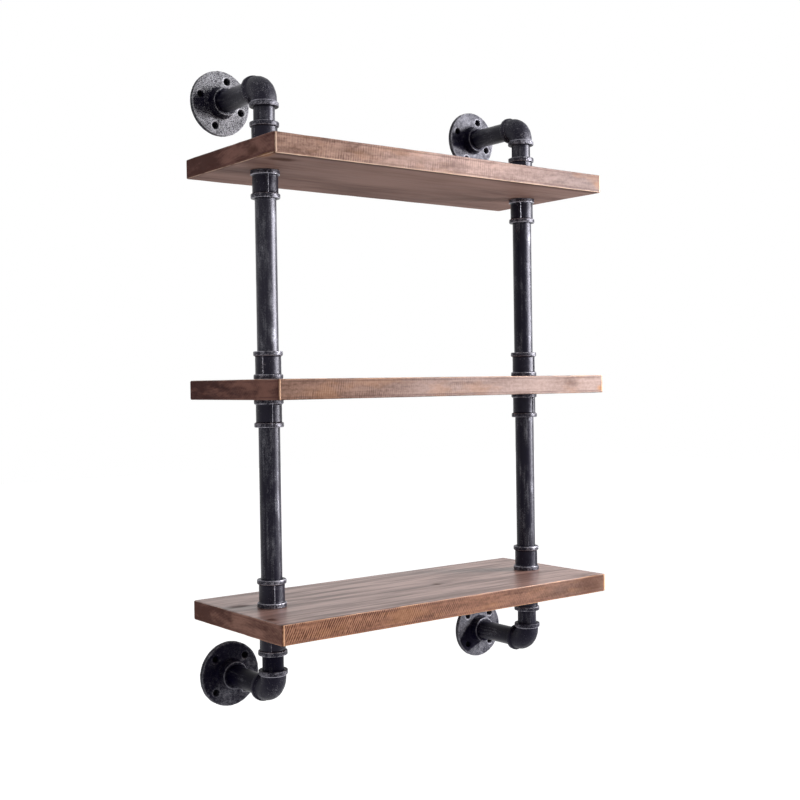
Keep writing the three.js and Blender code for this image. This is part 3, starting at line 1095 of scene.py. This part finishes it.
# %% How each board looks
# Colours are red, green and blue. Edges give them for the left end, the middle and the right end. Wear is
# how far the upper and the lower edges are rubbed. A spot is a centre, half sizes, a strength and a colour.
grey_smudge = (0.170, 0.110, 0.095)
board_looks = {
    "top": {
        "edge": {
            "dark": ((0.157, 0.077, 0.056), (0.308, 0.195, 0.173), (0.200, 0.137, 0.127)),
            "light": ((0.492, 0.298, 0.229), (0.668, 0.453, 0.394), (0.365, 0.262, 0.243)),
            "lean": 12,
            "cloudy": 0.9,
        },
        "end": {"dark": (0.125, 0.053, 0.044), "light": (0.400, 0.200, 0.165)},
        "rubbed": (0.950, 0.660, 0.500),
        "wear": (0.45, 1.0),
        "saw": {"slope": -0.10, "spacing": 3.6 * mm, "strongest": -0.10, "cut": 0.38},
        "depth": 0.8,
        "spots": [
            ((-0.160, front, 0.001), (0.045, 0.02, 0.006), 0.26, knot_stain_and_shade),
            ((-0.035, front, 0.0), (0.075, 0.02, 0.006), 0.22, knot_stain_and_shade),
            ((-0.238, -0.075, lower_face), (0.026, 0.014, 0.01), 0.75, knot_stain_and_shade),
            ((-0.05, 0.055, lower_face), (0.09, 0.02, 0.01), 0.20, knot_stain_and_shade),
            ((left_end, -0.060, -0.003), (0.01, 0.020, 0.008), 0.55, knot_stain_and_shade),
            ((left_end, -0.088, lower_face + 0.5 * mm), (0.01, 0.022, 0.0022), 0.75, bare_orange),
            ((0.264, front, -0.002), (0.009, 0.01, 0.007), 0.30, bare_orange),
        ],
    },
    "middle": {
        "edge": {
            "dark": ((0.132, 0.062, 0.041), (0.250, 0.162, 0.139), (0.280, 0.184, 0.158)),
            "light": ((0.374, 0.215, 0.161), (0.495, 0.350, 0.314), (0.510, 0.367, 0.330)),
            "lean": 3,
            "cloudy": 0.6,
        },
        "end": {"dark": (0.098, 0.040, 0.036), "light": (0.390, 0.187, 0.148)},
        "rubbed": (0.950, 0.580, 0.390),
        "wear": (0.8, 0.5),
        "saw": {"slope": -0.15, "spacing": 3.2 * mm, "strongest": -0.15, "cut": 0.4},
        "depth": 0.6,
        "spots": [
            ((0.205, front, 0.003), (0.017, 0.01, 0.007), 0.55, grey_smudge),
            ((0.02, front, 0.004), (0.06, 0.02, 0.003), 0.25, knot_stain_and_shade),
            ((0.263, front, -0.006), (0.008, 0.01, 0.005), 0.70, bare_orange),
        ],
    },
    "bottom": {
        "edge": {
            "dark": ((0.103, 0.037, 0.022), (0.119, 0.051, 0.034), (0.107, 0.053, 0.040)),
            "light": ((0.464, 0.220, 0.133), (0.380, 0.185, 0.121), (0.301, 0.169, 0.124)),
            "lean": 2,
            "cloudy": 0.7,
        },
        "end": {"dark": (0.152, 0.067, 0.053), "light": (0.520, 0.275, 0.215)},
        "rubbed": (0.950, 0.520, 0.310),
        "wear": (0.70, 0.88),
        "saw": {"slope": -0.55, "spacing": 3.3 * mm, "strongest": -0.14, "cut": 1.45},
        "depth": 1.0,
        "spots": [
            ((0.038, -0.012, upper_face), (0.013, 0.009, 0.01), 0.6, knot_stain_and_shade),
            ((-0.260, -0.070, upper_face), (0.008, 0.010, 0.01), 0.8, knot_stain_and_shade),
            # A dark streak left of the left coupling, partly its painted shadow on the board
            ((-0.246, 0.030, upper_face), (0.026, 0.012, 0.01), 0.7, knot_stain_and_shade),
            ((0.178, front, 0.0), (0.016, 0.02, 0.006), 0.45, grey_smudge),
            ((0.240, front, 0.002), (0.034, 0.02, 0.022), 0.70, (0.130, 0.070, 0.055)),
            ((0.267, front, -0.002), (0.004, 0.01, 0.009), 0.60, bare_orange),
        ],
    },
}
board_finishes = {level: stained_pine(f"stained_pine_{level}", board_looks[level]) for level in levels}
print("wood finishes:", [finish.name for finish in board_finishes.values()])

# %% [markdown]
# ## Boards
#
# A board starts as a box whose sides are divided finely near the corners. A bevel could round it, but at
# one width everywhere, while these boards are rounded more at their upright corners than along their
# edges. So the points are moved in two steps. The square corners of the outline are drawn in to quarter
# circles, and then the edges are rolled over by a smaller radius that varies a little on the way. Points
# crowd beside each upright corner, since the worn line there is narrow and lies on the front side of it.

# %% Box with crowded corners
def divided(half, spacing):
    """Places across a side: spaced evenly in the middle and crowded near both ends."""
    near_edge = half - np.array([0, 0.25, 0.6, 1.1, 1.8, 2.4, 3.1, 3.7, 4.3, 5.0, 5.8]) * mm
    inner_half = half - 7 * mm
    count = max(2, round(2 * inner_half / spacing))
    inner = np.linspace(-inner_half, inner_half, count + 1)
    return np.concatenate([-near_edge, inner, near_edge[::-1]])


def box_shell(half_sizes, spacings):
    """Points and faces of a closed box whose six sides are divided finely."""
    places = [divided(half, spacing) for half, spacing in zip(half_sizes, spacings)]
    numbers, points, faces = {}, [], []

    def number_of(spot):
        if spot not in numbers:
            numbers[spot] = len(points)
            points.append([places[axis][index] for axis, index in enumerate(spot)])
        return numbers[spot]

    for axis in range(3):
        first, second = (axis + 1) % 3, (axis + 2) % 3
        for outer in (0, len(places[axis]) - 1):
            for a in range(len(places[first]) - 1):
                for b in range(len(places[second]) - 1):
                    corners = []
                    for step_a, step_b in ((0, 0), (1, 0), (1, 1), (0, 1)):
                        spot = [0, 0, 0]
                        spot[axis], spot[first], spot[second] = outer, a + step_a, b + step_b
                        corners.append(number_of(tuple(spot)))
                    faces.append(corners if outer else corners[::-1])
    return np.array(points), faces


print("places across a board:", len(divided(back, 9 * mm)))

# %% Round the box
edge_rounding = 1.6 * mm
upright_corner_radius = 3.6 * mm


def rounded_shell(points, half, rounding):
    """Rounds a box's upright corners, then rolls its edges over by each point's own rounding."""
    plan, height = np.abs(points[:, :2]), np.abs(points[:, 2])
    inner = np.minimum(plan, half[:2] - upright_corner_radius)
    step = plan - inner
    length = np.maximum(np.linalg.norm(step, axis=1), 1e-9)
    inset, drop = upright_corner_radius - step.max(axis=1), half[2] - height
    past_side, past_face = np.maximum(rounding - inset, 0), np.maximum(rounding - drop, 0)
    roll = rounding / np.maximum(np.hypot(past_side, past_face), 1e-9)
    inset = np.where(past_side > 0, rounding - past_side * roll, inset)
    drop = np.where(past_face > 0, rounding - past_face * roll, drop)
    plan = inner + step * ((upright_corner_radius - inset) / length)[:, None]
    return np.column_stack([plan, half[2] - drop]) * np.where(points < 0, -1, 1)


print("corner radius in millimetres:", round(upright_corner_radius / mm, 2))

# %% Make the boards
board_hole_radius = 13.95 * mm
board_hole_profile = [(board_hole_radius, -20 * mm), (board_hole_radius, 20 * mm)]


def board_piece(name, node, seed, heart, wear):
    """Wear is how far the upper and the lower edges are rubbed; the upright corners are rubbed fully."""
    low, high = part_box(node)
    centre = (low + high) / 2
    half = np.array((high - low) / 2)
    points, faces = box_shell(half, (9 * mm, 9 * mm, 3.5 * mm))
    rubbed = 1 + 0.22 * casting_waves(points, 1, 70 * mm, seed)
    points = rounded_shell(points, half, edge_rounding * np.clip(rubbed, 0.6, 1.7))

    plank = mesh_piece(name, points, faces, sharp_degrees=60)
    hole_centres = [(axis.x - centre.x, axis.y - centre.y) for axis in column_axis.values()]
    cutter = closed_round_bodies("column_hole_cutter", hole_centres, board_hole_profile)
    drilled, spots = cut_out(plank, cutter)

    from_side = half - np.abs(spots)
    from_upright = np.maximum(from_side[:, 0] - 1.8 * mm, from_side[:, 1] + 2 * mm)
    from_level = np.maximum(np.minimum(from_side[:, 0], from_side[:, 1]), from_side[:, 2])
    edge_wear = np.where(spots[:, 2] > 0, *wear) * np.where(from_side[:, 0] < from_side[:, 1], 0.75, 1)
    worn = np.maximum(
        1 - eased_step(1.9 * mm, 2.9 * mm, from_upright),
        edge_wear * (1 - eased_step(0.4 * mm, 1.5 * mm, from_level)),
    )
    # A line just inside the rubbed corners and edges, painted dark in the finish as shade below the edges
    beside_worn = np.maximum(
        near(from_upright - 3.3 * mm, 0.5 * mm),
        0.8 * near(from_level - 3.1 * mm, 0.7 * mm),
    )
    mark(plank, "local", spots)
    mark(plank, "place", spots + np.array(heart) + np.array([seed * 1.7, 0, 0]))
    mark(plank, "worn", worn)
    mark(plank, "beside_worn", beside_worn)
    drilled.transform(Matrix.Translation(centre))
    return plank


# How far the middle of each plank lies from the heart of its tree
hearts = {"top": (0, 0.03, 0.085), "middle": (0, -0.06, -0.10), "bottom": (0, 0.02, 0.12)}
for number, (level, heart) in enumerate(hearts.items()):
    node = f"board_{level}"
    piece = board_piece(f"pine_{node}", node, seed=91 + number, heart=heart, wear=board_looks[level]["wear"])
    stand_in(piece, node, board_finishes[level])
    print(piece.name, "points:", len(piece.data.vertices))

# %% [markdown]
# ## Finish
#
# The shelf hangs from the wall and nothing on it moves, so every piece rides on the one body. The colours
# are kept as they are, without a film look.

# %% Keep the colours as they are
bpy.context.scene.view_settings.view_transform = "Standard"
